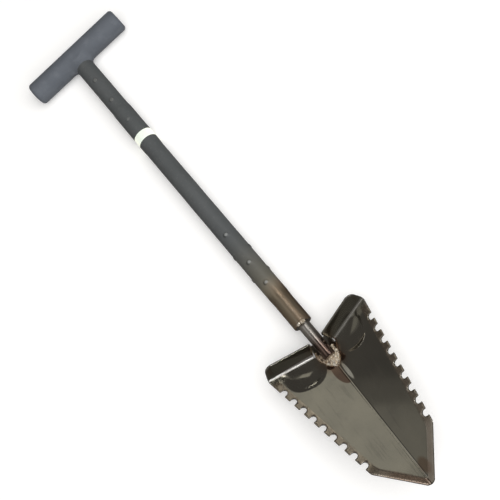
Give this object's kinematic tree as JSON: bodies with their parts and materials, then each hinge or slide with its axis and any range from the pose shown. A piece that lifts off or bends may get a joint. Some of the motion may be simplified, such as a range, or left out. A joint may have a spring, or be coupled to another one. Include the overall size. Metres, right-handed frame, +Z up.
{
  "type": "T-handled detecting shovel",
  "caption": "Short steel digging shovel with a V-folded serrated blade, foot steps, tubular shaft and rubber T grip.",
  "frame": {"origin": "on the ground under the middle of the whole tool as it lies on its back", "axes": "+Z up, +Y from the blade's point towards the grip, X along the grip; the blade's hollow side faces up"},
  "size_m": [0.16, 0.7812, 0.0836],
  "materials": {
    "blade_steel": "dark steel under gloss clear coat",
    "weld_metal": "raw weld under clear coat, straw coloured",
    "stem_steel": "polished brown-black bar under gloss clear coat",
    "tube_steel": "bronze-brown steel tube under clear coat",
    "inner_steel": "plain mill steel",
    "pin_steel": "plain steel pin",
    "sleeve_rubber": "satin dark grey shrunk rubber",
    "grip_rubber": "matte slate grey moulded rubber",
    "marker": "pale green-white luminous ring",
    "plug_plastic": "black moulded plug"
  },
  "bodies": {
    "root": {"blade": "blade_steel", "blade_weld": "weld_metal", "stem_rod": "stem_steel", "stem_bush": "inner_steel", "tube_end_weld": "weld_metal", "shaft_tube": "tube_steel", "stem_pins_front": "pin_steel", "stem_pins_side": "pin_steel", "lower_sleeve": "sleeve_rubber", "marker_ring": "marker", "upper_sleeve": "sleeve_rubber", "handle_spigot": "inner_steel", "handle_pins": "pin_steel", "handle_weld": "inner_steel", "crossbar_tube": "inner_steel", "crossbar_plug_left": "plug_plastic", "crossbar_plug_right": "plug_plastic", "crossbar_grip": "grip_rubber"}
  },
  "joints": []
}
